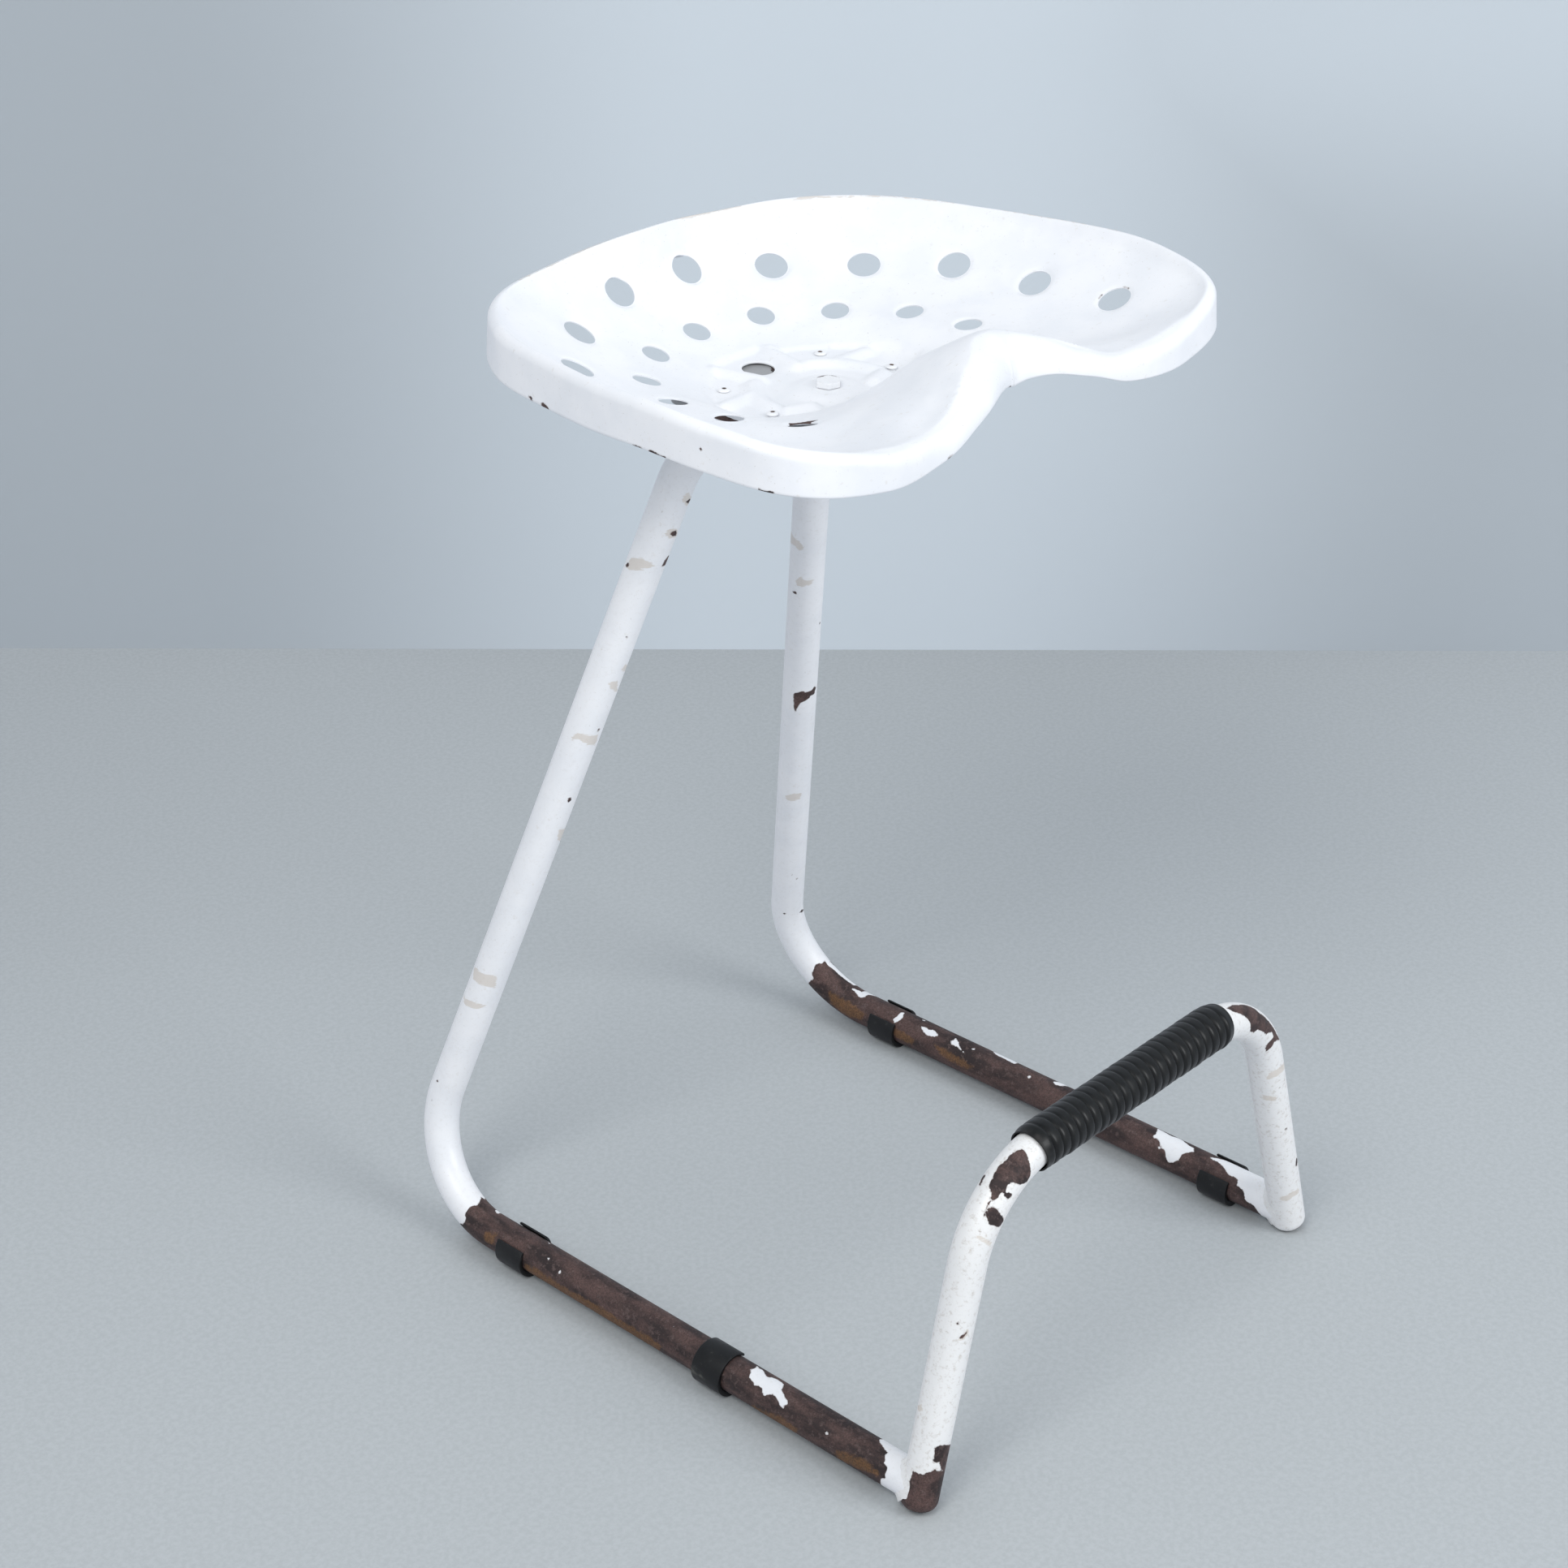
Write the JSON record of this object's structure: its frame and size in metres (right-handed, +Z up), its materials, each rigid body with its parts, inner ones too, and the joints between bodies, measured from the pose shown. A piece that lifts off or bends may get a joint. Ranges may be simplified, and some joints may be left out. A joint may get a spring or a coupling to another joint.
{
  "type": "stool",
  "caption": "Workshop stool with a pressed, perforated tractor seat on a bent-tube frame with floor runners and a sleeved footrest bar",
  "frame": {"origin": "on the floor, in the middle of the stool's box", "axes": "+Z up, the footrest faces -Y, the seat's high back faces +Y, +X is the far runner in the picture"},
  "size_m": [0.4402, 0.4884, 0.6935],
  "materials": {
    "white_paint": "old white gloss paint, chipped, worn off the runners down to brown rusted steel",
    "ribbed_rubber": "black ribbed sleeve, satin, slightly dusty",
    "black_plastic": "black moulded clip, scuffed below",
    "rusty_steel": "screw heads with brown rust",
    "zinc_steel": "dull zinc plate"
  },
  "bodies": {
    "root": {"seat_pan": "white_paint", "mounting_plate": "white_paint", "footrest_loop": "white_paint", "footrest_sleeve": "ribbed_rubber", "left_frame_tube": "white_paint", "left_corner_weld": "white_paint", "right_frame_tube": "white_paint", "right_corner_weld": "white_paint", "near_rear_glide": "black_plastic", "near_front_glide": "black_plastic", "far_rear_glide": "black_plastic", "far_front_glide": "black_plastic", "rear_left_screw": "rusty_steel", "rear_left_screw_washer": "zinc_steel", "rear_left_screw_nut": "zinc_steel", "rear_right_screw": "rusty_steel", "rear_right_screw_washer": "zinc_steel", "rear_right_screw_nut": "zinc_steel", "front_left_screw": "rusty_steel", "front_left_screw_washer": "zinc_steel", "front_left_screw_nut": "zinc_steel", "front_right_screw": "rusty_steel", "front_right_screw_washer": "zinc_steel", "front_right_screw_nut": "zinc_steel", "centre_bolt": "white_paint", "centre_bolt_washer": "zinc_steel", "centre_bolt_nut": "zinc_steel"}
  },
  "joints": []
}
